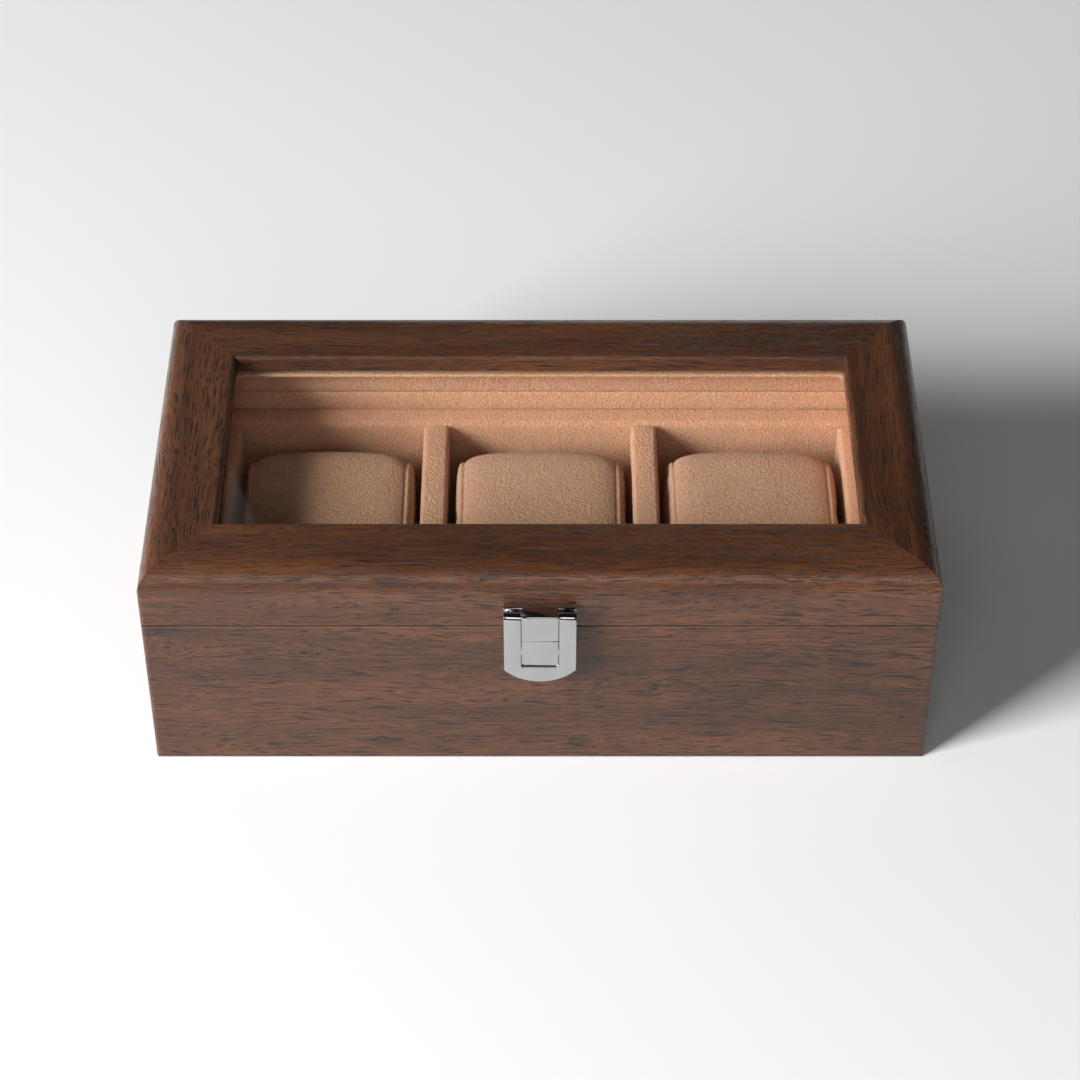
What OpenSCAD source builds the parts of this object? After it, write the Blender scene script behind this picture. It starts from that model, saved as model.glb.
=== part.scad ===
// Three-slot wooden watch box: a mitred walnut case, a hinged lid with a glass window,
// a suede-lined tray with three lift-out pillows, two rear butt hinges and a front latch.
// Millimetres. +X runs along the box, -Y is the front, +Z is up.
// The origin is the middle of the footprint, on the surface that the box stands on.

/* [Case] */
// Length of the case along X
case_w = 240; // [220:1:300]
// Depth of the case along Y, front face to back face
case_d = 125.5; // [120:0.5:160]
// Height of the closed case
case_h = 78.5; // [76:0.5:90]
// Height of the parting line between base and lid
seam_z = 58.2; // [56:0.1:60]
// Thickness of the wooden walls
wall_t = 9; // [7:0.5:10]
// Radius of the large roundover along the top of the lid
top_r = 8; // [4:0.5:8]
// Radius of the upright outer corners
corner_r = 1.5; // [0.5:0.1:3]

/* [Lid window] */
// Width of the side rails of the lid frame
rail_side = 22.8; // [20:0.2:26]
// Width of the front and back rails of the lid frame
rail_front = 24.2; // [20:0.2:26]
// Thickness of the rails above the glass
rail_lip = 5.5; // [4:0.1:6]
// Thickness of the window glass
glass_t = 2.5; // [2:0.1:3]
// Thickness of the padded frame that holds the glass up
retainer_t = 1.2; // [1:0.2:4]

/* [Lining] */
// Thickness of the suede-covered boards that line the walls
lining_t = 8.75; // [4:0.25:9]
// Height of the ledge and of the dividers
ledge_z = 52.3; // [46:0.1:54]
// Depth of the ledge blocks at the front and back of the tray
ledge_d = 8.4; // [6:0.2:9]
// Thickness of the end blocks of the tray
end_block_t = 5.8; // [5:0.1:8]
// Thickness of the two dividers
divider_t = 8.8; // [6:0.2:9]
// Thickness of the bottom panel
panel_t = 5; // [3:0.5:6]

/* [Pillows] */
// Length of a pillow along X
pillow_w = 56; // [50:0.1:57]
// Length of a pillow along Y
pillow_d = 58; // [50:1:60]
// Height of the top of a pillow above the table
pillow_top = 55; // [50:0.5:56]
// Thickness of a sewn end cap
pillow_cap = 3.9; // [3:0.1:6]

/* [Latch] */
// Width of the latch
latch_w = 21.6; // [18:0.1:24]
// How far the latch stands out from the front of the box
latch_out = 6.5; // [6:0.1:8]
// Height of the top of the latch above the parting line
latch_up = 10; // [9:0.1:10.5]
// How far the rounded tip of the flap reaches below the parting line
latch_down = 17.1; // [15:0.1:20]
// Width of the slot in the flap
latch_slot = 11.5; // [10:0.1:13]

/* [Hinges] */
// Length of a hinge along X
hinge_l = 30; // [24:1:36]
// Distance of each hinge from the middle of the box
hinge_x = 70; // [50:1:85]
// Outer radius of a hinge barrel
barrel_r = 2; // [1.8:0.1:2.5]

/* [Hidden] */
// Pieces of the case
CASE = ["base_front", "base_back", "base_left", "base_right", "bottom_panel", "underside_felt"];
LINING = ["base_lining_front", "base_lining_back", "base_lining_left", "base_lining_right",
    "floor_lining"];
TRAY = ["tray_block_front", "tray_block_back", "tray_block_left", "tray_block_right",
    "divider_left", "divider_right"];
LID = ["lid_front_rail", "lid_back_rail", "lid_left_rail", "lid_right_rail", "window_glass",
    "glass_retainer", "lid_lining_front", "lid_lining_back", "lid_lining_left",
    "lid_lining_right"];
HINGES = ["hinge_left_base_leaf", "hinge_left_lid_leaf", "hinge_left_pin",
    "hinge_right_base_leaf", "hinge_right_lid_leaf", "hinge_right_pin",
    "hinge_base_screws", "hinge_lid_screws"];
LATCH = ["latch_bracket", "latch_pin", "latch_flap", "latch_keeper", "latch_bracket_screws",
    "latch_keeper_screws"];
PILLOWS = ["pillow_left_band", "pillow_left_end_caps", "pillow_middle_band",
    "pillow_middle_end_caps", "pillow_right_band", "pillow_right_end_caps"];

WALNUT = "#6b4732";
SUEDE = "#c8a085";
CHROME = "#c9c9cc";
BRASS = "#b59a5a";
STEEL = "#a8a8aa";
FELT = "#4a3428";

$fn = 48;
eps = 0.01;
// Half sizes of the case, of the inside of its walls and of the inside of its lining
half_w = case_w / 2;
half_d = case_d / 2;
in_w = half_w - wall_t;
in_d = half_d - wall_t;
line_w = in_w - lining_t;
line_d = in_d - lining_t;
// Half sizes of the window
win_w = half_w - rail_side;
win_d = half_d - rail_front;
// The open line between base and lid, and the radius of the edges on each side of it
seam_gap = 0.2;
edge_r = 0.6;
foot_r = 1;
win_r = 1.5;
base_top = seam_z - seam_gap / 2;
lid_low = seam_z + seam_gap / 2;
glass_top = case_h - rail_lip;
glass_low = glass_top - glass_t;
glass_lap = 4;
retainer_low = glass_low - retainer_t;
retainer_inset = 0.8;
retainer_r = 3;
// How far the lining stops short of the parting line, and lies off its neighbours
lining_gap = 0.1;
felt_t = 1.2;
floor_t = 2;
panel_low = felt_t;
floor_low = panel_low + panel_t;
floor_top = floor_low + floor_t;
// Tray
tray_w = line_w - end_block_t;
tray_d = line_d - ledge_d;
slot_w = (2 * tray_w - 2 * divider_t) / 3;
divider_x = slot_w / 2 + divider_t / 2;
pillow_x = slot_w + divider_t;
// Pillows lie just clear of the floor lining
pillow_low = floor_top + 0.3;
pillow_round = 14;
cap_inset = 2.2;
// Latch: knuckles turn on a pin between the bracket plate and the flap's face
knuckle_r = 1.8;
latch_pin_r = 0.8;
pin_play = 0.05;
latch_play = 0.25;
bracket_t = 2.6;
flap_t = 2;
flap_thin = 0.5;
pin_y = -half_d - latch_out + knuckle_r;
latch_top = seam_z + latch_up;
latch_tip = seam_z - latch_down;
pin_z = latch_top - knuckle_r;
tongue_w = latch_slot - 2 * latch_play;
slot_low = seam_z - 11.3;
slot_r = 0.9;
flap_side_low = seam_z - 12.2;
// The nose of the keeper leans back, so that the tip of the flap can pass it
keeper_nose_low = latch_out - flap_thin - 0.1;
keeper_nose_top = latch_out;
keeper_plate_t = 1.2;
keeper_plate_w = 19;
keeper_low = slot_low + latch_play;
latch_screw_x = 7.6;
latch_screw_r = 0.9;
latch_screw_l = 6;
latch_head_r = 1.6;
latch_head_t = 0.6;
bracket_screw_z = seam_z + 4;
keeper_screw_z = seam_z - 6;
// Hinges: the leaves lie in mortises in the two rims
leaf_t = 1;
leaf_d = 8;
hinge_pin_r = 0.9;
barrel_gap = 0.15;
knuckle_gap = 0.15;
hinge_y = half_d + barrel_gap + barrel_r;
leaf_y = half_d - leaf_d;
hinge_screw_r = 0.9;
hinge_screw_l = 6;
hinge_head_r = 1.5;
hinge_head_t = 0.5;
hinge_screw_step = 18;

// Points of an arc, for the edges of a moulding
function arc(cx, cy, r, a0, a1, n = 6) =
    [for (i = [0:n]) let (a = a0 + (a1 - a0) * i / n) [cx + r * cos(a), cy + r * sin(a)]];

// Plan of the whole case, with its rounded upright corners
module case_plan() {
    x = half_w - corner_r;
    y = half_d - corner_r;
    polygon(concat(arc(x, y, corner_r, 0, 90), arc(-x, y, corner_r, 90, 180),
        arc(-x, -y, corner_r, 180, 270), arc(x, -y, corner_r, 270, 360)));
}

// Plan of one mitred side: -1 is front or left, 1 is back or right
module end_mitre(side, along_x) {
    long_side = [[-half_w, side * half_d], [half_w, side * half_d],
        [win_w, side * win_d], [-win_w, side * win_d]];
    short_side = [[side * half_w, -half_d], [side * half_w, half_d],
        [side * win_w, win_d], [side * win_w, -win_d]];
    polygon(along_x ? long_side : short_side);
}

// Section of a base wall: distance in from the outer face, then height
module base_section() {
    polygon(concat([[wall_t, 0], [wall_t, base_top - edge_r]],
        arc(wall_t - edge_r, base_top - edge_r, edge_r, 0, 90, 3),
        arc(edge_r, base_top - edge_r, edge_r, 90, 180, 3),
        arc(foot_r, foot_r, foot_r, 180, 270, 4)));
}

// Section of a lid rail: the skirt, the roundover, the flat top and the edge of the window
module lid_section(rail) {
    polygon(concat([[wall_t, lid_low], [wall_t, glass_top], [rail, glass_top]],
        arc(rail - win_r, case_h - win_r, win_r, 0, 90, 5),
        arc(top_r, case_h - top_r, top_r, 90, 180, 16),
        arc(edge_r, lid_low + edge_r, edge_r, 180, 270, 3)));
}

// A moulding that runs the length of one side, cut to its mitre and to the case's corners
module moulding(side, along_x) {
    intersection() {
        if (along_x)
            rotate([90, 0, 90]) translate([0, 0, -half_w]) linear_extrude(case_w)
                translate([side * half_d, 0]) face_in(side) children();
        else
            rotate([90, 0, 0]) translate([0, 0, -half_d]) linear_extrude(case_d)
                translate([side * half_w, 0]) face_in(side) children();
        linear_extrude(case_h) end_mitre(side, along_x);
        linear_extrude(case_h) case_plan();
    }
}

// Turns a section so that it reaches inwards from its side of the case
module face_in(side) {
    if (side < 0) children();
    else mirror([1, 0]) children();
}

// A board between two corners
module board(low, high) {
    translate(low) cube(high - low);
}

// ---- Wooden case ----
module base_front() {
    color(WALNUT) difference() {
        moulding(-1, true) base_section();
        latch_screw_set(keeper_screw_z);
    }
}
module base_back() {
    color(WALNUT) difference() {
        moulding(1, true) base_section();
        for (x = [-hinge_x, hinge_x]) leaf_mortise(x, base_top - leaf_t, case_h);
        hinge_screw_set(-1);
    }
}
module base_left() { color(WALNUT) moulding(-1, false) base_section(); }
module base_right() { color(WALNUT) moulding(1, false) base_section(); }
module bottom_panel() {
    color(WALNUT) board([-in_w, -in_d, panel_low], [in_w, in_d, floor_low]);
}
module underside_felt() {
    color(FELT) board([-in_w, -in_d, 0], [in_w, in_d, panel_low]);
}

// ---- Suede lining of the base ----
lining_top = base_top - lining_gap;
module base_lining_x(side) {
    color(SUEDE) board([-in_w, side < 0 ? -in_d : line_d, floor_low],
        [in_w, side < 0 ? -line_d : in_d, lining_top]);
}
module base_lining_y(side) {
    color(SUEDE) board([side < 0 ? -in_w : line_w, -line_d, floor_low],
        [side < 0 ? -line_w : in_w, line_d, lining_top]);
}
module base_lining_front() { base_lining_x(-1); }
module base_lining_back() { base_lining_x(1); }
module base_lining_left() { base_lining_y(-1); }
module base_lining_right() { base_lining_y(1); }
module floor_lining() {
    color(SUEDE) board([-line_w, -line_d, floor_low], [line_w, line_d, floor_top]);
}

// ---- Tray ----
module tray_block_x(side) {
    color(SUEDE) board([-line_w, side < 0 ? -line_d : tray_d, floor_top],
        [line_w, side < 0 ? -tray_d : line_d, ledge_z]);
}
module tray_block_y(side) {
    color(SUEDE) board([side < 0 ? -line_w : tray_w, -tray_d, floor_top],
        [side < 0 ? -tray_w : line_w, tray_d, ledge_z]);
}
module divider(side) {
    x = side * divider_x;
    color(SUEDE) board([x - divider_t / 2, -tray_d, floor_top],
        [x + divider_t / 2, tray_d, ledge_z]);
}
module tray_block_front() { tray_block_x(-1); }
module tray_block_back() { tray_block_x(1); }
module tray_block_left() { tray_block_y(-1); }
module tray_block_right() { tray_block_y(1); }
module divider_left() { divider(-1); }
module divider_right() { divider(1); }

// ---- Lid ----
module lid_front_rail() {
    color(WALNUT) difference() {
        moulding(-1, true) lid_section(rail_front);
        latch_screw_set(bracket_screw_z);
    }
}
module lid_back_rail() {
    color(WALNUT) difference() {
        moulding(1, true) lid_section(rail_front);
        for (x = [-hinge_x, hinge_x]) leaf_mortise(x, 0, lid_low + leaf_t);
        hinge_screw_set(1);
    }
}
module lid_left_rail() { color(WALNUT) moulding(-1, false) lid_section(rail_side); }
module lid_right_rail() { color(WALNUT) moulding(1, false) lid_section(rail_side); }
module window_glass() {
    x = win_w + glass_lap;
    y = win_d + glass_lap;
    color("lightblue", 0.4) board([-x, -y, glass_low], [x, y, glass_top]);
}
// A flat padded frame under the glass, with rounded corners to its opening
module glass_retainer() {
    x = win_w - retainer_inset - retainer_r;
    y = win_d - retainer_inset - retainer_r;
    color(SUEDE) difference() {
        board([-in_w, -in_d, retainer_low], [in_w, in_d, glass_low]);
        translate([0, 0, retainer_low - eps]) linear_extrude(retainer_t + 2 * eps)
            polygon(concat(arc(x, y, retainer_r, 0, 90), arc(-x, y, retainer_r, 90, 180),
                arc(-x, -y, retainer_r, 180, 270), arc(x, -y, retainer_r, 270, 360)));
    }
}
lid_lining_low = lid_low + lining_gap;
module lid_lining_x(side) {
    color(SUEDE) board([-in_w, side < 0 ? -in_d : line_d, lid_lining_low],
        [in_w, side < 0 ? -line_d : in_d, retainer_low]);
}
module lid_lining_y(side) {
    color(SUEDE) board([side < 0 ? -in_w : line_w, -line_d, lid_lining_low],
        [side < 0 ? -line_w : in_w, line_d, retainer_low]);
}
module lid_lining_front() { lid_lining_x(-1); }
module lid_lining_back() { lid_lining_x(1); }
module lid_lining_left() { lid_lining_y(-1); }
module lid_lining_right() { lid_lining_y(1); }

// ---- Rear hinges ----
module leaf_mortise(x, low, high) {
    board([x - hinge_l / 2, leaf_y, low], [x + hinge_l / 2, half_d + 1, high]);
}
module hinge_screw_set(side) {
    face = side < 0 ? base_top : lid_low;
    for (x = [-hinge_x, hinge_x], step = [-0.5, 0.5])
        translate([x + step * hinge_screw_step, leaf_y + leaf_d / 2, face])
            mirror([0, 0, side < 0 ? 1 : 0]) {
                cylinder(r = hinge_head_r, h = hinge_head_t);
                cylinder(r = hinge_screw_r, h = hinge_screw_l);
            }
}
// One barrel knuckle, bored for the pin, from x0 to x1
module barrel(x0, x1) {
    translate([x0, hinge_y, seam_z]) rotate([0, 90, 0]) cylinder(r = barrel_r, h = x1 - x0);
}
module pin_bore(x) {
    translate([x - hinge_l, hinge_y, seam_z]) rotate([0, 90, 0])
        cylinder(r = hinge_pin_r + pin_play, h = 2 * hinge_l);
}
module base_leaf(x) {
    third = hinge_l / 3;
    low = x - hinge_l / 2;
    color(BRASS) difference() {
        union() {
            board([low, leaf_y, base_top - leaf_t], [low + hinge_l, half_d, base_top]);
            for (x0 = [low, low + 2 * third]) {
                inner = x0 == low ? [0, -knuckle_gap] : [knuckle_gap, 0];
                board([x0 + inner[0], half_d - eps, base_top - leaf_t],
                    [x0 + third + inner[1], hinge_y, base_top]);
                barrel(x0 + inner[0], x0 + third + inner[1]);
            }
        }
        translate([x - hinge_l, hinge_y, seam_z]) rotate([0, 90, 0])
            cylinder(r = hinge_pin_r, h = 2 * hinge_l);
        hinge_screw_set(-1);
    }
}
module lid_leaf(x) {
    third = hinge_l / 3;
    low = x - hinge_l / 2;
    color(BRASS) difference() {
        union() {
            board([low, leaf_y, lid_low], [low + hinge_l, half_d, lid_low + leaf_t]);
            board([low + third + knuckle_gap, half_d - eps, lid_low],
                [low + 2 * third - knuckle_gap, hinge_y, lid_low + leaf_t]);
            barrel(low + third + knuckle_gap, low + 2 * third - knuckle_gap);
        }
        pin_bore(x);
        hinge_screw_set(1);
    }
}
module hinge_pin(x) {
    color(BRASS) translate([x - hinge_l / 2, hinge_y, seam_z]) rotate([0, 90, 0])
        cylinder(r = hinge_pin_r, h = hinge_l);
}
module hinge_left_base_leaf() { base_leaf(-hinge_x); }
module hinge_left_lid_leaf() { lid_leaf(-hinge_x); }
module hinge_left_pin() { hinge_pin(-hinge_x); }
module hinge_right_base_leaf() { base_leaf(hinge_x); }
module hinge_right_lid_leaf() { lid_leaf(hinge_x); }
module hinge_right_pin() { hinge_pin(hinge_x); }
module hinge_base_screws() { color(STEEL) hinge_screw_set(-1); }
module hinge_lid_screws() { color(STEEL) hinge_screw_set(1); }

// ---- Latch ----
// Screws run into the front of the case; their heads lie in the latch plates
module latch_screw_set(z) {
    head_y = z > seam_z ? bracket_t : keeper_plate_t;
    for (x = [-latch_screw_x, latch_screw_x])
        translate([x, -half_d - head_y, z]) rotate([-90, 0, 0]) {
            cylinder(r = latch_head_r, h = latch_head_t);
            cylinder(r = latch_screw_r, h = latch_screw_l);
        }
}
// Section of the tongue: a flat top, a rounded front edge and a flush face
module tongue_section(low, high, face_low, face_high, r) {
    y = -half_d;
    polygon(concat([[y, high], [y, low], [y - face_low, low]],
        arc(y - face_high + r, high - r, r, 180, 90, 4)));
}
module along_width(w) {
    rotate([90, 0, 90]) translate([0, 0, -w / 2]) linear_extrude(w) children();
}
module latch_bracket() {
    color(CHROME) difference() {
        union() {
            along_width(latch_w) tongue_section(lid_low, latch_top, bracket_t, bracket_t, 0.5);
            along_width(tongue_w) tongue_section(lid_low, latch_top, latch_out, latch_out, 0.7);
        }
        translate([-latch_w, pin_y, pin_z]) rotate([0, 90, 0])
            cylinder(r = latch_pin_r, h = 2 * latch_w);
        latch_screw_set(bracket_screw_z);
    }
}
module latch_pin() {
    color(CHROME) translate([-latch_w / 2, pin_y, pin_z]) rotate([0, 90, 0])
        cylinder(r = latch_pin_r, h = latch_w);
}
// Outline of the flap as seen from the front: straight sides and a shallow round tip
module flap_outline() {
    half = latch_w / 2;
    rise = flap_side_low - latch_tip;
    r = (half * half + rise * rise) / (2 * rise);
    a = asin(half / r);
    polygon(concat([[half, pin_z], [-half, pin_z]],
        arc(0, latch_tip + r, r, 270 - a, 270 + a, 24)));
}
module slot_outline() {
    x = latch_slot / 2 - slot_r;
    polygon(concat([[x + slot_r, case_h], [-x - slot_r, case_h]],
        arc(-x, slot_low + slot_r, slot_r, 180, 270, 4),
        arc(x, slot_low + slot_r, slot_r, 270, 360, 4)));
}
// Pushes an outline drawn from the front into a plate between two depths
module plate(outer, thick) {
    translate([0, -half_d - outer + thick, 0]) rotate([90, 0, 0])
        linear_extrude(thick) children();
}
module latch_flap() {
    arm_w = (latch_w - latch_slot) / 2;
    color(CHROME) difference() {
        union() {
            plate(latch_out, flap_t) difference() {
                flap_outline();
                slot_outline();
            }
            for (x = [-latch_w / 2, latch_slot / 2])
                translate([x, pin_y, pin_z]) rotate([0, 90, 0])
                    cylinder(r = knuckle_r, h = arm_w);
        }
        translate([-latch_w, pin_y, pin_z]) rotate([0, 90, 0])
            cylinder(r = latch_pin_r + pin_play, h = 2 * latch_w);
        // Relief behind the tip, where it passes the keeper
        board([-latch_slot / 2, -half_d - latch_out + flap_thin, latch_tip - 1],
            [latch_slot / 2, -half_d, seam_z]);
    }
}
module latch_keeper() {
    color(CHROME) difference() {
        union() {
            board([-keeper_plate_w / 2, -half_d - keeper_plate_t, keeper_low],
                [keeper_plate_w / 2, -half_d, base_top]);
            along_width(tongue_w)
                tongue_section(keeper_low, base_top, keeper_nose_low, keeper_nose_top, 0.2);
        }
        latch_screw_set(keeper_screw_z);
    }
}
module latch_bracket_screws() { color(STEEL) latch_screw_set(bracket_screw_z); }
module latch_keeper_screws() { color(STEEL) latch_screw_set(keeper_screw_z); }

// ---- Pillows ----
// Side view of a pillow, drawn in from its full outline by an inset
module pillow_side(inset) {
    r = pillow_round;
    y = pillow_d / 2 - inset - r;
    low = pillow_low + inset + r;
    high = pillow_top - inset - r;
    polygon(concat(arc(y, high, r, 0, 90, 8), arc(-y, high, r, 90, 180, 8),
        arc(-y, low, r, 180, 270, 8), arc(y, low, r, 270, 360, 8)));
}
module pillow_band(x) {
    color(SUEDE) translate([x, 0, 0]) along_width(pillow_w - 2 * pillow_cap) pillow_side(0);
}
module pillow_end_caps(x) {
    for (side = [-1, 1])
        color(SUEDE) translate([x + side * (pillow_w - pillow_cap) / 2, 0, 0])
            along_width(pillow_cap) pillow_side(cap_inset);
}
module pillow_left_band() { pillow_band(-pillow_x); }
module pillow_left_end_caps() { pillow_end_caps(-pillow_x); }
module pillow_middle_band() { pillow_band(0); }
module pillow_middle_end_caps() { pillow_end_caps(0); }
module pillow_right_band() { pillow_band(pillow_x); }
module pillow_right_end_caps() { pillow_end_caps(pillow_x); }

base_front();
base_back();
base_left();
base_right();
bottom_panel();
underside_felt();
base_lining_front();
base_lining_back();
base_lining_left();
base_lining_right();
floor_lining();
tray_block_front();
tray_block_back();
tray_block_left();
tray_block_right();
divider_left();
divider_right();
lid_front_rail();
lid_back_rail();
lid_left_rail();
lid_right_rail();
window_glass();
glass_retainer();
lid_lining_front();
lid_lining_back();
lid_lining_left();
lid_lining_right();
hinge_left_base_leaf();
hinge_left_lid_leaf();
hinge_left_pin();
hinge_right_base_leaf();
hinge_right_lid_leaf();
hinge_right_pin();
hinge_base_screws();
hinge_lid_screws();
latch_bracket();
latch_pin();
latch_flap();
latch_keeper();
latch_bracket_screws();
latch_keeper_screws();
pillow_left_band();
pillow_left_end_caps();
pillow_middle_band();
pillow_middle_end_caps();
pillow_right_band();
pillow_right_end_caps();
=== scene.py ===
"""Looks of a three-slot walnut watch box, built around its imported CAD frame. Metres, Z up."""
import math

import bmesh
import bpy
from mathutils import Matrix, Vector, noise


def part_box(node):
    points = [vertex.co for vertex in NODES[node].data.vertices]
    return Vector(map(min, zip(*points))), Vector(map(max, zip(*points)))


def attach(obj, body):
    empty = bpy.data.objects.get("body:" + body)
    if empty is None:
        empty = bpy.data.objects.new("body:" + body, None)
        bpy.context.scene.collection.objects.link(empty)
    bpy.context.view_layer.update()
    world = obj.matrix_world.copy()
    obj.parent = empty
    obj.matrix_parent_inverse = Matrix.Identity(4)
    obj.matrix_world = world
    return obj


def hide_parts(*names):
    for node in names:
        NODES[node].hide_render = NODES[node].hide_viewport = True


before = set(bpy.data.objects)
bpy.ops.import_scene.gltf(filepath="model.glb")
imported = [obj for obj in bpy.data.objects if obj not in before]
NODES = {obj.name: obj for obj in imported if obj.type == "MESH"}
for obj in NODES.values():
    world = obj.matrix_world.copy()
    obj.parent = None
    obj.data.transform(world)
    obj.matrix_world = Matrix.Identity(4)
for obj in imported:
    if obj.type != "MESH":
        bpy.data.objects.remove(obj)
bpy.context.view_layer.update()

MM = 0.001

# ---------------------------------------------------------------------------
# Places worked out from the frame
# ---------------------------------------------------------------------------
BASE_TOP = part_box("base_front")[1].z
LID_LOW, LID_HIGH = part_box("lid_front_rail")
SEAM_Z = (BASE_TOP + LID_LOW.z) / 2
CASE_TOP = LID_HIGH.z
WINDOW_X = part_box("lid_right_rail")[0].x
WINDOW_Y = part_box("lid_back_rail")[0].y
LIGHT_AIM = Vector((0, 0, CASE_TOP / 2))


# ---------------------------------------------------------------------------
# Node helpers
# ---------------------------------------------------------------------------
def add_node(tree, kind, inputs=None, **settings):
    """A shader node with its settings, its plain input values and its links in one call."""
    node = tree.nodes.new(kind)
    for key, value in settings.items():
        setattr(node, key, value)
    for key, value in (inputs or {}).items():
        if isinstance(value, bpy.types.NodeSocket):
            tree.links.new(value, node.inputs[key])
        else:
            node.inputs[key].default_value = value
    return node


def new_material(name, **principled):
    """A material with one Principled shader whose uniform values sit on its own sockets."""
    mat = bpy.data.materials.new(name)
    mat.use_nodes = True
    shader = mat.node_tree.nodes["Principled BSDF"]
    for key, value in principled.items():
        shader.inputs[key.replace("_", " ")].default_value = value
    return mat, mat.node_tree, shader


def ramp(tree, fac, stops):
    """A colour ramp; stops are (position, colour or grey)."""
    node = add_node(tree, "ShaderNodeValToRGB", {"Fac": fac})
    points = node.color_ramp.elements
    while len(points) < len(stops):
        points.new(0.5)
    for point, (place, value) in zip(points, stops):
        point.position = place
        colour = (value, value, value) if isinstance(value, (int, float)) else value
        point.color = (*colour, 1)
    return node.outputs["Color"]


def mix(tree, fac, a, b):
    """Mixes two colours."""
    node = add_node(tree, "ShaderNodeMix", data_type="RGBA")
    for socket, value in ((node.inputs[0], fac), (node.inputs[6], a), (node.inputs[7], b)):
        if isinstance(value, bpy.types.NodeSocket):
            tree.links.new(value, socket)
        elif isinstance(value, (int, float)):
            socket.default_value = value
        else:
            socket.default_value = (*value, 1)
    return node.outputs[2]


def maths(tree, operation, a, b=0.0, c=0.0):
    """One Math node."""
    node = add_node(tree, "ShaderNodeMath", operation=operation)
    for socket, value in zip(node.inputs, (a, b, c)):
        if isinstance(value, bpy.types.NodeSocket):
            tree.links.new(value, socket)
        else:
            socket.default_value = value
    return node.outputs[0]


def split(tree, vector):
    """The X, Y and Z of a vector."""
    return add_node(tree, "ShaderNodeSeparateXYZ", {"Vector": vector}).outputs


def stretched(tree, scale, shift=(0, 0, 0), vector=None):
    """Object coordinates, scaled so that one unit is one feature long on each axis."""
    if vector is None:
        vector = add_node(tree, "ShaderNodeTexCoord").outputs["Object"]
    return add_node(tree, "ShaderNodeMapping", {"Vector": vector, "Scale": scale,
                                                "Location": shift}).outputs["Vector"]


def noise_of(tree, vector, scale=1.0, detail=2.0, rough=0.5, distort=0.0):
    """The grey value of a Noise texture."""
    return add_node(tree, "ShaderNodeTexNoise", {
        "Vector": vector, "Scale": scale, "Detail": detail, "Roughness": rough,
        "Distortion": distort}).outputs["Fac"]


def add_bump(tree, shader, height, distance, strength=1.0, before=None):
    """Bump from a height, stacked on another bump if one is given."""
    inputs = {"Height": height, "Distance": distance, "Strength": strength}
    if before is not None:
        inputs["Normal"] = before
    out = add_node(tree, "ShaderNodeBump", inputs).outputs["Normal"]
    tree.links.new(out, shader.inputs["Normal"])
    return out


# ---------------------------------------------------------------------------
# Walnut
# ---------------------------------------------------------------------------
WALNUT_LIGHT = (0.125, 0.047, 0.019)
WALNUT_MID = (0.080, 0.028, 0.0110)
WALNUT_DARK = (0.044, 0.017, 0.008)
# Colour of the open pores, also used for the painted shade in the parting line
WALNUT_PORE_AND_SEAM_SHADE = (0.010, 0.0065, 0.0055)
# Colour of the painted edge highlights beside the parting line and round the window
WALNUT_EDGE_HIGHLIGHT = (0.210, 0.115, 0.070)
# How far the grain wanders sideways, and how long its waves are on each axis, as 1 / metres
GRAIN_SWAY = 10 * MM
GRAIN_WAVES = (16, 16, 45)
# Widths of the painted edge highlights beside the parting line and round the window
SEAM_HIGHLIGHT_WIDTH = 0.8 * MM
WINDOW_HIGHLIGHT_WIDTH = 1.0 * MM
SCRATCH_TURN = (0.5, 0.45, 0.6)
SCRATCH_SCALE = (30, 950, 950)


def plank_grain(tree, place, along, shift):
    """A function that gives grain coordinates: one unit is one streak long or one streak wide."""
    drift = add_node(tree, "ShaderNodeTexNoise", {
        "Vector": stretched(tree, GRAIN_WAVES, (shift, 0, 0), place), "Scale": 1.0,
        "Detail": 2.0}).outputs["Color"]
    sway = add_node(tree, "ShaderNodeVectorMath", {0: drift, 1: (GRAIN_SWAY,) * 3},
                    operation="MULTIPLY").outputs[0]
    wavy = add_node(tree, "ShaderNodeVectorMath", {0: sway, 1: place},
                    operation="ADD").outputs[0]

    def grain(length_mm, width_mm, offset):
        across = 1 / (width_mm * MM)
        scale = [across, across, across]
        scale["XY".index(along)] = 1 / (length_mm * MM)
        return stretched(tree, scale, (shift + offset, shift - offset, offset), wavy)

    return grain


def walnut_streaks(tree, bands, fine, hair):
    """Broad bands of tone with finer and finer streaks over them."""
    colour = ramp(tree, bands, [(0.32, WALNUT_DARK), (0.5, WALNUT_MID), (0.70, WALNUT_LIGHT)])
    colour = mix(tree, ramp(tree, fine, [(0.30, 0.55), (0.5, 0.0)]), colour, WALNUT_DARK)
    colour = mix(tree, ramp(tree, fine, [(0.50, 0.0), (0.74, 0.6)]), colour, WALNUT_LIGHT)
    colour = mix(tree, ramp(tree, hair, [(0.32, 0.8), (0.49, 0.0)]), colour, WALNUT_DARK)
    return mix(tree, ramp(tree, hair, [(0.54, 0.0), (0.72, 0.5)]), colour, WALNUT_LIGHT)


def walnut_pores(tree, grain):
    """Open pores: dark dashes that thin out to nothing, gathered where the wood is coarser."""
    pores = noise_of(tree, grain(14, 0.5, 5.3), 1.0, 2.0, 0.5)
    specks = noise_of(tree, grain(7, 0.42, 8.3), 1.0, 1.0, 0.5)
    where = noise_of(tree, grain(70, 16, 9.9), 1.0, 2.0, 0.5)
    level = maths(tree, "MULTIPLY_ADD", where, 0.14, pores)
    large = ramp(tree, level, [(0.0, 0.0), (0.650, 0.0), (0.705, 0.95)])
    small = ramp(tree, specks, [(0.0, 0.0), (0.605, 0.0), (0.685, 0.8)])
    return maths(tree, "MAXIMUM", large, small)


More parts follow.
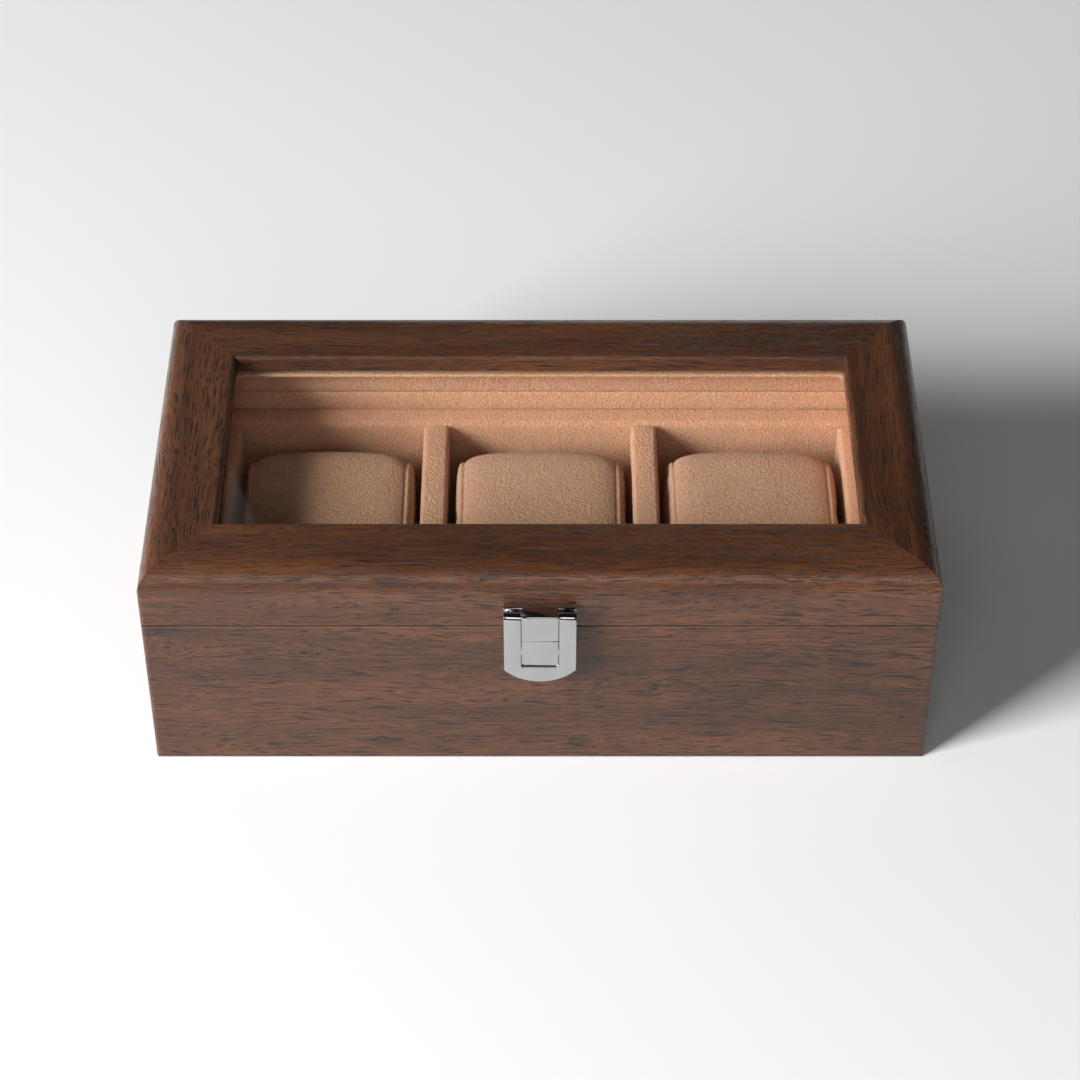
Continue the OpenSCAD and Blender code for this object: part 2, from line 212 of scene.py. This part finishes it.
def parting_line_highlight_and_shade(tree, colour, height, bands):
    """Paints a highlight on the edges beside the parting line and paints shade into the line
    itself.
    """
    from_seam = maths(tree, "ABSOLUTE", maths(tree, "SUBTRACT", height, SEAM_Z))
    span = maths(tree, "MULTIPLY", from_seam, 1 / SEAM_HIGHLIGHT_WIDTH)
    # The rims themselves, which face straight up or down, are plain wood
    facing = split(tree, add_node(tree, "ShaderNodeTexCoord").outputs["Normal"])["Z"]
    upright = ramp(tree, maths(tree, "ABSOLUTE", facing), [(0.75, 1.0), (0.95, 0.0)])
    # Painted highlight: the edges beside the parting line are drawn lighter, standing in for the
    # rounded arris catching light
    edge_highlight = ramp(tree, span, [(0.3, 0.5), (1.0, 0.0)])
    edge_highlight = maths(tree, "MULTIPLY", edge_highlight, ramp(tree, bands, [(0.3, 0.3), (0.7, 1.0)]))
    edge_highlight = maths(tree, "MULTIPLY", edge_highlight, upright)
    colour = mix(tree, edge_highlight, colour, WALNUT_EDGE_HIGHLIGHT)
    # Painted shade: the parting line and the arris beside it are drawn dark, standing in for the
    # shade in the gap
    line = maths(tree, "MULTIPLY", ramp(tree, span, [(0.35, 0.92), (0.5, 0.0)]), upright)
    return mix(tree, line, colour, WALNUT_PORE_AND_SEAM_SHADE)


def window_edge_highlight(tree, colour, place, height):
    """Paints a highlight along the top edge round the window."""
    sides = split(tree, add_node(tree, "ShaderNodeVectorMath", {0: place},
                                 operation="ABSOLUTE").outputs[0])
    past_x = maths(tree, "SUBTRACT", sides["X"], WINDOW_X)
    past_y = maths(tree, "SUBTRACT", sides["Y"], WINDOW_Y)
    past = maths(tree, "ABSOLUTE", maths(tree, "MAXIMUM", past_x, past_y))
    below = maths(tree, "SUBTRACT", CASE_TOP, height)
    edge = maths(tree, "MULTIPLY", maths(tree, "ADD", past, below), 1 / WINDOW_HIGHLIGHT_WIDTH)
    # Painted highlight: the window's top edge is drawn lighter, standing in for its rounded arris
    # catching light
    return mix(tree, ramp(tree, edge, [(0.2, 0.45), (1.0, 0.0)]), colour, WALNUT_EDGE_HIGHLIGHT)


def walnut_surface(tree, shader, place, fine, hair, pore):
    """Gloss that breaks up over the pores, raised fibres, and a few long faint scratches."""
    rough = maths(tree, "MULTIPLY_ADD", fine, 0.10, 0.21)
    rough = maths(tree, "MULTIPLY_ADD", pore, 0.25, rough)
    tree.links.new(rough, shader.inputs["Roughness"])
    slant = add_node(tree, "ShaderNodeMapping", {"Vector": place, "Rotation": SCRATCH_TURN,
                                                 "Scale": SCRATCH_SCALE}).outputs["Vector"]
    scratch = ramp(tree, noise_of(tree, slant, 1.0, 1.0), [(0.70, 0.0), (0.74, 1.0)])
    relief = maths(tree, "SUBTRACT", hair, maths(tree, "MULTIPLY", pore, 1.4))
    first = add_bump(tree, shader, relief, 0.08 * MM, 0.6)
    add_bump(tree, shader, scratch, 0.04 * MM, 0.5, first)


def walnut(name, along, shift):
    """Oiled walnut. along is the axis of the grain, shift moves it to another plank."""
    mat, tree, shader = new_material(name, Roughness=0.4, Specular_IOR_Level=0.5)
    place = add_node(tree, "ShaderNodeTexCoord").outputs["Object"]
    height = split(tree, place)["Z"]
    grain = plank_grain(tree, place, along, shift)
    bands = noise_of(tree, grain(120, 11, 3.1), 1.0, 3.0, 0.55)
    fine = noise_of(tree, grain(26, 1.1, 7.7), 1.0, 3.0, 0.6)
    hair = noise_of(tree, grain(12, 0.34, 1.9), 1.0, 2.0, 0.6)
    pore = walnut_pores(tree, grain)
    colour = mix(tree, pore, walnut_streaks(tree, bands, fine, hair), WALNUT_PORE_AND_SEAM_SHADE)
    # Painted shade in the parting line, and painted highlights beside it and round the window
    colour = parting_line_highlight_and_shade(tree, colour, height, bands)
    colour = window_edge_highlight(tree, colour, place, height)
    tree.links.new(colour, shader.inputs["Base Color"])
    walnut_surface(tree, shader, place, fine, hair, pore)
    return mat


# ---------------------------------------------------------------------------
# Suede, felt, metal, glass and floor
# ---------------------------------------------------------------------------
SUEDE_LIT = (0.785, 0.445, 0.270)
SUEDE_NAP = (0.575, 0.287, 0.165)
SUEDE_FLOSS = (0.860, 0.560, 0.380)
FELT_LOW = (0.030, 0.018, 0.012)
FELT_HIGH = (0.095, 0.060, 0.042)
FELT_PATCH = (0.02, 0.014, 0.01)
FLOOR_GREYS = ((0.86, 0.86, 0.86), (0.90, 0.90, 0.90))
# Share of the light that the pane reflects face on, and how much more at a glancing angle
PANE_FACE_ON = 0.03
PANE_GLANCING = 0.96


def suede(name, shift=0.0, tone=1.0):
    """Brushed microfibre suede: a pebbled nap, soft sheen and a warm glow in its edges."""
    mat, tree, shader = new_material(
        name, Roughness=0.88, Specular_IOR_Level=0.25, Sheen_Weight=0.35,
        Sheen_Roughness=0.45, Sheen_Tint=(1.0, 0.82, 0.70, 1), Subsurface_Weight=0.45,
        Subsurface_Radius=(1.0, 0.28, 0.12), Subsurface_Scale=0.005)
    place = stretched(tree, (1, 1, 1), (shift, shift, 0))
    pebble = noise_of(tree, place, 1150, 3.0, 0.55, 0.7)
    fibre = noise_of(tree, place, 3600, 2.0, 0.6)
    stroke = noise_of(tree, place, 70, 3.0, 0.6, 0.3)
    lit, nap, floss = (tuple(tone * c for c in colour)
                       for colour in (SUEDE_LIT, SUEDE_NAP, SUEDE_FLOSS))
    colour = mix(tree, ramp(tree, pebble, [(0.36, 0.7), (0.52, 0.0)]), lit, nap)
    colour = mix(tree, ramp(tree, pebble, [(0.54, 0.0), (0.74, 0.65)]), colour, floss)
    colour = mix(tree, ramp(tree, stroke, [(0.35, 0.28), (0.6, 0.0)]), colour, nap)
    colour = mix(tree, ramp(tree, fibre, [(0.35, 0.18), (0.6, 0.0)]), colour, nap)
    tree.links.new(colour, shader.inputs["Base Color"])
    first = add_bump(tree, shader, pebble, 1.0 * MM, 0.85)
    add_bump(tree, shader, fibre, 0.15 * MM, 0.4, first)
    return mat


def felt(name):
    """Pressed dark felt: short tangled fibres."""
    mat, tree, shader = new_material(name, Roughness=0.95, Specular_IOR_Level=0.2,
                                     Sheen_Weight=0.25, Sheen_Roughness=0.5)
    place = stretched(tree, (1, 1, 1))
    tangle = noise_of(tree, place, 1700, 4.0, 0.65, 1.5)
    patch = noise_of(tree, place, 60, 2.0)
    colour = mix(tree, ramp(tree, tangle, [(0.35, 0.0), (0.65, 1.0)]), FELT_LOW, FELT_HIGH)
    colour = mix(tree, ramp(tree, patch, [(0.4, 0.25), (0.6, 0.0)]), colour, FELT_PATCH)
    tree.links.new(colour, shader.inputs["Base Color"])
    add_bump(tree, shader, tangle, 0.5 * MM, 0.6)
    return mat


def metal(name, colour, rough, brush, wear):
    """A metal with faint brushing along X and a little handling wear."""
    mat, tree, shader = new_material(name, Metallic=1.0)
    lines = noise_of(tree, stretched(tree, (60, 5200, 5200)), 1.0, 2.0, 0.6)
    smear = noise_of(tree, stretched(tree, (1, 1, 1)), 130, 4.0, 0.6, 0.4)
    dark = tuple(0.90 * c for c in colour)
    tree.links.new(mix(tree, ramp(tree, smear, [(0.4, 0.0), (0.7, 1.0)]), colour, dark),
                   shader.inputs["Base Color"])
    level = maths(tree, "MULTIPLY_ADD", lines, brush, rough)
    level = maths(tree, "MULTIPLY_ADD", smear, wear, level)
    tree.links.new(level, shader.inputs["Roughness"])
    add_bump(tree, shader, lines, 0.012 * MM, 0.5)
    return mat


def window_pane(name):
    """Clear float glass, thin enough not to bend what lies behind it."""
    mat = bpy.data.materials.new(name)
    mat.use_nodes = True
    tree = mat.node_tree
    tree.nodes.clear()
    clear = add_node(tree, "ShaderNodeBsdfTransparent", {"Color": (0.985, 0.992, 0.99, 1)})
    shine = add_node(tree, "ShaderNodeBsdfGlossy", {"Color": (1, 1, 1, 1), "Roughness": 0.02})
    # Schlick's rule on the angle alone, so that both faces of the pane reflect alike
    glancing = add_node(tree, "ShaderNodeLayerWeight", {"Blend": 0.5}).outputs["Facing"]
    share = maths(tree, "MULTIPLY_ADD", maths(tree, "POWER", glancing, 5.0), PANE_GLANCING,
                  PANE_FACE_ON)
    pane = add_node(tree, "ShaderNodeMixShader", {0: share, 1: clear.outputs[0],
                                                  2: shine.outputs[0]})
    add_node(tree, "ShaderNodeOutputMaterial", {"Surface": pane.outputs[0]})
    return mat


def pale_floor(name):
    """A plain pale sweep with the faintest unevenness."""
    mat, tree, shader = new_material(name, Roughness=0.55, Specular_IOR_Level=0.3)
    cloud = noise_of(tree, stretched(tree, (1, 1, 1)), 1.2, 2.0)
    tree.links.new(mix(tree, cloud, *FLOOR_GREYS), shader.inputs["Base Color"])
    return mat


# ---------------------------------------------------------------------------
# CAD nodes that keep their shape
# ---------------------------------------------------------------------------
WELD_GAP = 0.01 * MM
SHARP_ANGLE = math.radians(40)
BEVEL_SEGMENTS = 3


def finish_node(name, mat, bevel_mm=0.0):
    """Gives a CAD node its material and, where its edges are still sharp, an eased edge."""
    piece = NODES[name]
    piece.data.materials.clear()
    piece.data.materials.append(mat)
    if bevel_mm:
        weld = piece.modifiers.new("weld", "WELD")
        weld.merge_threshold = WELD_GAP
        bevel = piece.modifiers.new("eased_edge", "BEVEL")
        bevel.width = bevel_mm * MM
        bevel.segments = BEVEL_SEGMENTS
        bevel.limit_method = "ANGLE"
        bevel.angle_limit = SHARP_ANGLE
        bevel.harden_normals = True
        for face in piece.data.polygons:
            face.use_smooth = True


def new_piece(name, body, mesh, mat):
    """Puts a bmesh in the scene as a smooth piece that rides on a body."""
    data = bpy.data.meshes.new(name)
    mesh.to_mesh(data)
    mesh.free()
    for face in data.polygons:
        face.use_smooth = True
    piece = bpy.data.objects.new(name, data)
    bpy.context.scene.collection.objects.link(piece)
    data.materials.append(mat)
    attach(piece, body)
    return piece


# ---------------------------------------------------------------------------
# Suede-covered boards
# ---------------------------------------------------------------------------
BOARD_CELL = 4.0 * MM
EDGE_CUTS = 4
# Share of the padding that every face keeps, how much it varies, and the size of its hollows
PAD_LEVEL = 0.75
PAD_DENT = 0.25
DENT_SIZE = 9 * MM
# How far the retainer's inner edge stands back from the window, and its corner radii
RETAINER_STEP = 0.8 * MM
RETAINER_INNER_R = 3 * MM
RETAINER_OUTER_R = 0.5 * MM
CORNER_CUTS = 8
# Name, edge radius and padding in millimetres of each board, block and divider
BOARDS = ([(f"base_lining_{side}", 1.0, 0.3) for side in ("front", "back", "left", "right")]
          + [("floor_lining", 0.6, 0.2)]
          + [(f"tray_block_{side}", 1.8, 0.35) for side in ("front", "back", "left", "right")]
          + [(f"divider_{side}", 1.6, 0.3) for side in ("left", "right")]
          + [(f"lid_lining_{side}", 0.8, 0.2) for side in ("front", "back", "left", "right")])


def grid_stops(low, high, radius):
    """Places of the cuts along one axis: close together in the rounded edges, wider between."""
    edge = [radius * (1 - math.cos(math.pi / 2 * i / EDGE_CUTS)) for i in range(EDGE_CUTS + 1)]
    span = high - low - 2 * radius
    count = max(1, round(span / BOARD_CELL))
    middle = [low + radius + span * i / count for i in range(1, count)]
    return [low + e for e in edge] + middle + [high - e for e in reversed(edge)]


def gridded_box(stops):
    """A closed box whose faces are cut at the given places on each axis."""
    mesh = bmesh.new()
    corners = {}

    def vertex(key):
        if key not in corners:
            corners[key] = mesh.verts.new([stops[a][key[a]] for a in range(3)])
        return corners[key]

    for axis in range(3):
        u, v = (axis + 1) % 3, (axis + 2) % 3
        for end in (0, len(stops[axis]) - 1):
            for i in range(len(stops[u]) - 1):
                for j in range(len(stops[v]) - 1):
                    ring = []
                    for di, dj in ((0, 0), (1, 0), (1, 1), (0, 1)):
                        key = [0, 0, 0]
                        key[axis], key[u], key[v] = end, i + di, j + dj
                        ring.append(vertex(tuple(key)))
                    mesh.faces.new(ring if end else ring[::-1])
    return mesh


def round_and_pad(mesh, low, high, radius, puff, seed):
    """Rounds a box's edges and lets the middle of each face stand proud of its rim."""
    centre = (low + high) / 2
    half = (high - low) / 2
    for vert in mesh.verts:
        # Each point keeps a radius away from the box shrunk by that radius
        core = Vector([max(low[a] + radius, min(high[a] - radius, vert.co[a]))
                       if half[a] > radius else centre[a] for a in range(3)])
        out = vert.co - core
        if out.length > 0:
            out.normalize()
            vert.co = core + out * radius
        swell = 1.0
        for a in range(3):
            if abs(out[a]) < 0.9:
                along = abs(vert.co[a] - centre[a]) / half[a]
                swell *= 1 - along ** 6
        dent = PAD_DENT * noise.noise((vert.co + Vector((seed, 0, 0))) / DENT_SIZE)
        vert.co -= out * puff * (1 - swell * (PAD_LEVEL + dent))


def soft_board(node, mat, radius, puff, seed):
    """A board wrapped in padded suede: a closed form that stays inside its CAD solid."""
    low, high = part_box(node)
    stops = [grid_stops(low[a], high[a], min(radius, (high[a] - low[a]) * 0.49))
             for a in range(3)]
    mesh = gridded_box(stops)
    round_and_pad(mesh, low, high, radius, puff, seed)
    body = "lid" if node.startswith("lid") else "base"
    piece = new_piece(f"{node}_suede", body, mesh, mat)
    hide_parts(node)


def round_rectangle(half_x, half_y, radius):
    """The points of a rounded rectangle, anticlockwise from its right side."""
    points = []
    for k, (sx, sy) in enumerate(((1, 1), (-1, 1), (-1, -1), (1, -1))):
        for i in range(CORNER_CUTS + 1):
            a = math.pi / 2 * (k + i / CORNER_CUTS)
            points.append(Vector((sx * (half_x - radius) + radius * math.cos(a),
                                  sy * (half_y - radius) + radius * math.sin(a))))
    return points


def retainer_ring(mat):
    """The padded card frame under the glass: one ring with a rolled inner edge."""
    low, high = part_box("glass_retainer")
    inner = round_rectangle(WINDOW_X + RETAINER_STEP, WINDOW_Y + RETAINER_STEP,
                            RETAINER_INNER_R)
    outer = round_rectangle(high.x, high.y, RETAINER_OUTER_R)
    roll = (high.z - low.z) / 2
    section = [(roll * (1 - math.sin(a)), roll * math.cos(a))
               for a in (math.pi * i / CORNER_CUTS for i in range(CORNER_CUTS + 1))]
    mesh = bmesh.new()
    loops = []
    for near, far in zip(inner, outer):
        out = (far - near).normalized()
        ring = [mesh.verts.new((*(near + out * depth), low.z + roll + rise))
                for depth, rise in section]
        ring.append(mesh.verts.new((*far, low.z)))
        ring.append(mesh.verts.new((*far, high.z)))
        loops.append(ring)
    for one, two in zip(loops, loops[1:] + loops[:1]):
        for i in range(len(one)):
            j = (i + 1) % len(one)
            mesh.faces.new((one[i], one[j], two[j], two[i]))
    bmesh.ops.recalc_face_normals(mesh, faces=mesh.faces)
    piece = new_piece("glass_retainer_suede", "lid", mesh, mat)
    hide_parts("glass_retainer")


# ---------------------------------------------------------------------------
# Pillows
# ---------------------------------------------------------------------------
PILLOW_RING = 96
PILLOW_ROUND = 15 * MM
# Rings from the middle to the seam, over the bulge of the cap, and across its flat end
BAND_STEPS = 12
CAP_STEPS = 7
END_STEPS = 5
# How far the band falls away by its seam, first gently, then in a tight roll
CROWN = 0.9 * MM
SEAM_DROP = 2.4 * MM
# How far the cap draws in over its bulge, and then towards the middle of its end
CAP_DROP = 7.5 * MM
END_DROP = 12 * MM
CAP_LIP = 0.3 * MM
CAP_START = 0.2 * MM
THREAD_PULL = 0.45 * MM
# The most that the stuffing may move a point, and the room left inside the CAD solids
SIM_FRAMES = 16
SIM_CAP = 1.3 * MM
END_ROOM = 0.02 * MM
TOP_PROUD = 0.2 * MM
STUFFING = {"quality": 6, "mass": 0.2, "use_pressure": True, "uniform_pressure_force": 4.0,
            "tension_stiffness": 25, "compression_stiffness": 25, "bending_stiffness": 1.5,
            "vertex_group_mass": "seam_pins"}


def side_outline(half_y, low, high, inset):
    """Rounded outline of a pillow's section in Y and Z, drawn in by an inset."""
    y = half_y - inset
    z0, z1 = low + inset, high - inset
    r = min(PILLOW_ROUND, y * 0.95, (z1 - z0) / 2 * 0.95)
    straight = (2 * (y - r), z1 - z0 - 2 * r)
    arc = math.pi * r / 2
    total = 2 * sum(straight) + 4 * arc
    corners = ((y - r, z1 - r), (-(y - r), z1 - r), (-(y - r), z0 + r), (y - r, z0 + r))
    aways = ((-1, 0), (0, -1), (1, 0), (0, 1))
    points = []
    for i in range(PILLOW_RING):
        s = (i + 0.5) / PILLOW_RING * total
        for k, (corner, away) in enumerate(zip(corners, aways)):
            if s <= arc:
                a = math.pi / 2 * k + s / r
                points.append((corner[0] + r * math.cos(a), corner[1] + r * math.sin(a)))
                break
            s -= arc
            if s <= straight[k % 2]:
                a = math.pi / 2 * (k + 1)
                points.append((corner[0] + r * math.cos(a) + away[0] * s,
                               corner[1] + r * math.sin(a) + away[1] * s))
                break
            s -= straight[k % 2]
    return points


def pillow_rings(seam_x, end_x):
    """(x, inset, is a seam) of each ring of a pillow from its left end to its right end."""
    right = []
    for i in range(BAND_STEPS + 1):
        x = seam_x * math.sin(math.pi / 2 * i / BAND_STEPS)
        along = x / seam_x
        inset = CROWN * along ** 2 + (SEAM_DROP - CROWN) * along ** 9
        right.append((x, inset, i == BAND_STEPS))
    bulge = end_x - seam_x - 2 * CAP_START
    for i in range(1, CAP_STEPS + 1):
        a = math.pi / 2 * i / CAP_STEPS
        x = seam_x + CAP_START + bulge * math.sin(a)
        right.append((x, SEAM_DROP - CAP_LIP + CAP_DROP * (1 - math.cos(a)), False))
    for i in range(1, END_STEPS + 1):
        x = end_x - CAP_START + CAP_START * i / END_STEPS
        right.append((x, SEAM_DROP + CAP_DROP + END_DROP * i / (END_STEPS + 1), False))
    left = [(-x, inset, seam) for x, inset, seam in right[:0:-1]]
    return left + right


def pillow_form(band, caps):
    """The quads of a pillow, and the vertices that lie on its two seams."""
    low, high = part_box(band)
    end_low, end_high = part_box(caps)
    centre_x = (low.x + high.x) / 2
    half_y = (high.y - low.y) / 2
    rings = pillow_rings((high.x - low.x) / 2, (end_high.x - end_low.x) / 2)
    mesh = bmesh.new()
    loops = []
    for x, inset, _ in rings:
        outline = side_outline(half_y, low.z, high.z, inset)
        loops.append([mesh.verts.new((centre_x + x, y, z)) for y, z in outline])
    for one, two in zip(loops, loops[1:]):
        for i in range(PILLOW_RING):
            j = (i + 1) % PILLOW_RING
            mesh.faces.new((one[i], one[j], two[j], two[i]))
    mesh.faces.new(loops[0][::-1])
    mesh.faces.new(loops[-1])
    mesh.verts.index_update()
    seams = [v.index for loop, ring in zip(loops, rings) if ring[2] for v in loop]
    bmesh.ops.recalc_face_normals(mesh, faces=mesh.faces)
    return mesh, seams


def puff_up(piece, seams):
    """Inflates a pillow as cloth that is held at its seams, then caps how far it may move."""
    start = [v.co.copy() for v in piece.data.vertices]
    pins = piece.vertex_groups.new(name="seam_pins")
    pins.add(seams, 1.0, "REPLACE")
    cloth = piece.modifiers.new("stuffing", "CLOTH")
    for key, value in STUFFING.items():
        setattr(cloth.settings, key, value)
    cloth.settings.effector_weights.gravity = 0
    for step in range(1, SIM_FRAMES + 1):
        bpy.context.scene.frame_set(step)
    shaped = piece.evaluated_get(bpy.context.evaluated_depsgraph_get())
    moved = [v.co.copy() for v in shaped.to_mesh().vertices]
    shaped.to_mesh_clear()
    piece.modifiers.remove(cloth)
    bpy.context.scene.frame_set(1)
    for vert, was, now in zip(piece.data.vertices, start, moved):
        step = now - was
        if step.length > SIM_CAP:
            step *= SIM_CAP / step.length
        vert.co = was + step
    piece.vertex_groups.clear()


def draw_in_seams(verts, seams, middle_z):
    """Pulls the seams in, as the thread does."""
    for i in seams:
        middle = Vector((verts[i].co.x, 0, middle_z))
        verts[i].co += (middle - verts[i].co).normalized() * THREAD_PULL


def keep_inside(verts, band, caps):
    """Holds every point of a pillow inside the space of its CAD solids."""
    low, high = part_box(caps)
    band_low, band_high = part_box(band)
    for vert in verts:
        vert.co.x = max(low.x + END_ROOM, min(high.x - END_ROOM, vert.co.x))
        vert.co.z = max(band_low.z, min(band_high.z + TOP_PROUD, vert.co.z))
        vert.co.y = max(band_low.y, min(band_high.y, vert.co.y))


def pillow(place, mat):
    """One stuffed pillow with its two seams."""
    band, caps = f"pillow_{place}_band", f"pillow_{place}_end_caps"
    mesh, seams = pillow_form(band, caps)
    piece = new_piece(f"pillow_{place}_cushion", f"pillow_{place}", mesh, mat)
    puff_up(piece, seams)
    band_low, band_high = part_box(band)
    draw_in_seams(piece.data.vertices, seams, (band_low.z + band_high.z) / 2)
    keep_inside(piece.data.vertices, band, caps)
    smooth = piece.modifiers.new("smooth", "SUBSURF")
    smooth.levels = 1
    smooth.render_levels = 1
    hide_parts(band, caps)


# ---------------------------------------------------------------------------
# Stage
# ---------------------------------------------------------------------------
FLOOR_HALF = 6.0
WORLD_STRENGTH = 0.012
CAMERA_PLACE = (0, -0.7000, 0.6946)
CAMERA_PITCH = 0.756
CAMERA_LENS = 100
# Name, azimuth and elevation in degrees, distance, width and height in metres, and watts
LIGHTS = [("key", 212, 26, 2.2, 0.85, 1.2, 101),
          ("back_left_panel", 128, 38, 1.5, 1.0, 0.9, 0.8),
          ("back_panel", 75, 10, 1.6, 1.1, 0.3, 1.8),
          ("front_right_fill", 325, 16, 1.8, 0.6, 0.5, 2),
          ("front_panel", 270, 39, 1.5, 0.9, 0.6, 3.4)]


def round_at(azimuth, elevation, distance):
    """A place round the box, in degrees from +X and up from the floor."""
    a, e = math.radians(azimuth), math.radians(elevation)
    return Vector((math.cos(a) * math.cos(e), math.sin(a) * math.cos(e), math.sin(e))) * distance


def area_light(name, azimuth, elevation, distance, width, height, watts):
    """A soft panel that faces the box."""
    lamp = bpy.data.lights.new(name, "AREA")
    lamp.shape = "RECTANGLE"
    lamp.size = width
    lamp.size_y = height
    lamp.energy = watts
    holder = bpy.data.objects.new(name, lamp)
    holder.location = round_at(azimuth, elevation, distance)
    facing = LIGHT_AIM - holder.location
    holder.rotation_euler = facing.to_track_quat("-Z", "Y").to_euler()
    bpy.context.scene.collection.objects.link(holder)


def build_floor():
    """A flat pale floor."""
    data = bpy.data.meshes.new("floor")
    half = FLOOR_HALF
    data.from_pydata([(-half, -half, 0), (half, -half, 0), (half, half, 0), (-half, half, 0)],
                     [], [(0, 1, 2, 3)])
    data.materials.append(pale_floor("pale_floor"))
    floor = bpy.data.objects.new("floor", data)
    bpy.context.scene.collection.objects.link(floor)


def build_world():
    """A trace of even light from all round."""
    world = bpy.data.worlds.new("studio")
    bpy.context.scene.world = world
    world.use_nodes = True
    background = world.node_tree.nodes["Background"]
    background.inputs["Color"].default_value = (1, 1, 1, 1)
    background.inputs["Strength"].default_value = WORLD_STRENGTH


def build_camera():
    """The camera, above the front of the box and looking down at it."""
    lens = bpy.data.cameras.new("photo_camera")
    lens.lens = CAMERA_LENS
    lens.sensor_width = 36
    lens.clip_start = 0.01
    camera = bpy.data.objects.new("photo_camera", lens)
    camera.location = CAMERA_PLACE
    camera.rotation_euler = (math.pi / 2 - CAMERA_PITCH, 0, 0)
    bpy.context.scene.collection.objects.link(camera)
    bpy.context.scene.camera = camera
    bpy.context.scene.view_settings.view_transform = "Standard"


# ---------------------------------------------------------------------------
# The box
# ---------------------------------------------------------------------------
PLANKS = ["base_front", "base_back", "base_left", "base_right", "lid_front_rail",
          "lid_back_rail", "lid_left_rail", "lid_right_rail", "bottom_panel"]
FITTING_EDGE_MM = 0.12
SCREW_EDGE_MM = 0.08


def dress_wood():
    """Every plank has its own stretch of grain, along its length."""
    for i, name in enumerate(PLANKS):
        along = "Y" if "left" in name or "right" in name else "X"
        finish_node(name, walnut(f"walnut_{name}", along, 3.7 * i))


def dress_metal():
    """Latch, hinges and screws."""
    chrome = metal("latch_chrome", (0.50, 0.50, 0.51), 0.05, 0.05, 0.06)
    brass = metal("hinge_brass", (0.52, 0.38, 0.17), 0.18, 0.12, 0.10)
    steel = metal("screw_steel", (0.42, 0.42, 0.43), 0.22, 0.10, 0.10)
    for name in ("latch_bracket", "latch_flap", "latch_keeper", "latch_pin"):
        finish_node(name, chrome, FITTING_EDGE_MM)
    for side in ("left", "right"):
        for part in ("base_leaf", "lid_leaf", "pin"):
            finish_node(f"hinge_{side}_{part}", brass, FITTING_EDGE_MM)
    for name in ("hinge_base_screws", "hinge_lid_screws", "latch_bracket_screws",
                 "latch_keeper_screws"):
        finish_node(name, steel, SCREW_EDGE_MM)


def dress_lining():
    """Boards, blocks and dividers in suede, the felt underneath and the glass."""
    for i, (node, radius_mm, puff_mm) in enumerate(BOARDS):
        soft_board(node, suede(f"suede_{node}", 0.013 * i), radius_mm * MM, puff_mm * MM,
                   0.05 * i)
    retainer_ring(suede("suede_glass_retainer", 0.31))
    finish_node("underside_felt", felt("underside_felt"))
    finish_node("window_glass", window_pane("window_pane"))


def dress_pillows():
    """The three cushions."""
    for i, place in enumerate(("left", "middle", "right")):
        pillow(place, suede(f"suede_pillow_{place}", 0.4 + 0.07 * i, 0.88))


build_floor()
build_world()
for light in LIGHTS:
    area_light(*light)
build_camera()
dress_wood()
dress_metal()
dress_lining()
dress_pillows()
